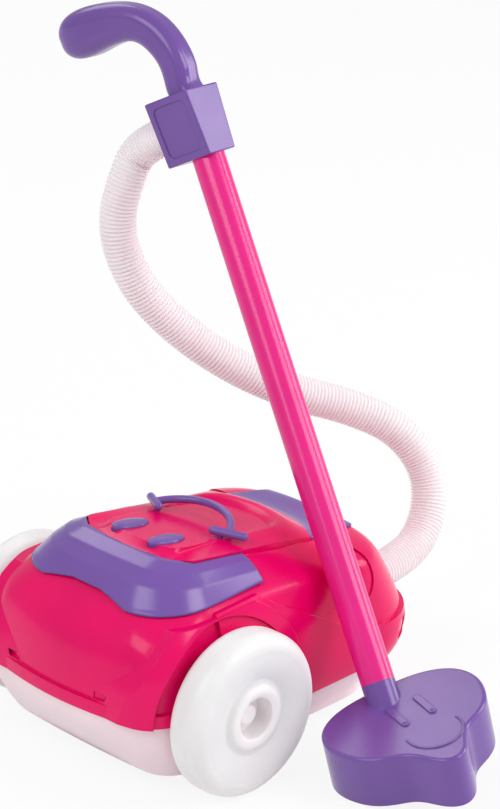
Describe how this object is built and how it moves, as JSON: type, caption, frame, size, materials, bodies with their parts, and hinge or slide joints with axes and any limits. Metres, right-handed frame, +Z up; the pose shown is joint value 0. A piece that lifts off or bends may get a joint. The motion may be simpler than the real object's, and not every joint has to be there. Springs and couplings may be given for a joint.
{
  "type": "toy vacuum cleaner",
  "caption": "Toy vacuum cleaner: two-wheeled body with a front caster and push buttons, a ribbed hose, and a leaning wand with a cane grip, a connector block and a floor nozzle.",
  "frame": {"origin": "middle of the footprint on the floor, the hose left out", "axes": "+X towards the nose of the body, +Y to the side away from the wand, +Z up"},
  "size_m": [0.4779, 0.5479, 0.541],
  "materials": {
    "pink_gloss": "glossy moulded hot pink",
    "pink_tube": "glossy pink tube",
    "purple_gloss": "glossy moulded purple",
    "purple_button": "glossy moulded purple",
    "purple_satin": "glossy moulded purple",
    "milky_base": "milky pink-white",
    "milky_wheel": "milky white, slightly see-through",
    "milky_cap": "milky white",
    "hose_milky": "soft milky white",
    "spring_steel": "plain spring wire",
    "steel": "plain"
  },
  "bodies": {
    "casing": {"upper_shell": "pink_gloss", "lower_shell": "milky_base", "top_cover": "pink_gloss", "nose_cap": "purple_gloss", "bumper_trim": "purple_gloss", "smile_trim": "purple_gloss", "button_spring_left": "spring_steel", "button_spring_right": "spring_steel", "button_tray": "milky_base", "rear_axle": "steel", "axle_cap_left": "milky_cap", "axle_cap_right": "milky_cap", "axle_bushes": "milky_base", "shell_screws": "steel", "hose_inlet_collar": "milky_base", "hose_cuff_body": "hose_milky", "hose": "hose_milky"},
    "left_wheel": {"rear_wheel_left": "milky_wheel"},
    "right_wheel": {"rear_wheel_right": "milky_wheel"},
    "caster_swivel": {"caster_fork": "milky_base", "caster_pin": "steel", "caster_clip": "steel"},
    "front_wheel": {"caster_wheel": "milky_cap"},
    "left_button": {"button_left": "purple_button"},
    "right_button": {"button_right": "purple_button"},
    "wand": {"wand_tube": "pink_tube", "connector_block": "purple_satin", "handle_grip": "purple_satin", "hose_cuff_wand": "hose_milky", "nozzle_shell": "purple_satin", "nozzle_sole": "purple_satin", "nozzle_screws": "steel"}
  },
  "joints": [
    {"name": "left_wheel_spin", "type": "hinge", "parent": "casing", "child": "left_wheel", "pos_m": [-0.0809, 0.0118, 0.0685], "axis": [0, 1, 0], "continuous": true},
    {"name": "right_wheel_spin", "type": "hinge", "parent": "casing", "child": "right_wheel", "pos_m": [-0.0809, 0.0118, 0.0685], "axis": [0, 1, 0], "continuous": true},
    {"name": "caster_turn", "type": "hinge", "parent": "casing", "child": "caster_swivel", "pos_m": [0.1051, 0.0118, 0.035], "axis": [0, 0, 1], "continuous": true},
    {"name": "caster_wheel_spin", "type": "hinge", "parent": "caster_swivel", "child": "front_wheel", "pos_m": [0.0961, 0.0118, 0.013], "axis": [0, 1, 0], "continuous": true},
    {"name": "left_button_press", "type": "slide", "parent": "casing", "child": "left_button", "axis": [0, 0, -1], "range_m": [0, 0.0025], "stiffness_N_per_m": 800, "springref_m": -0.001, "deforming": ["button_spring_left"]},
    {"name": "right_button_press", "type": "slide", "parent": "casing", "child": "right_button", "axis": [0, 0, -1], "range_m": [0, 0.0025], "stiffness_N_per_m": 800, "springref_m": -0.001, "deforming": ["button_spring_right"]},
    {"name": "wand_lift", "type": "slide", "parent": "casing", "child": "wand", "axis": [0, 0, 1], "range_m": [0, 0.12], "deforming": ["hose"]}
  ]
}
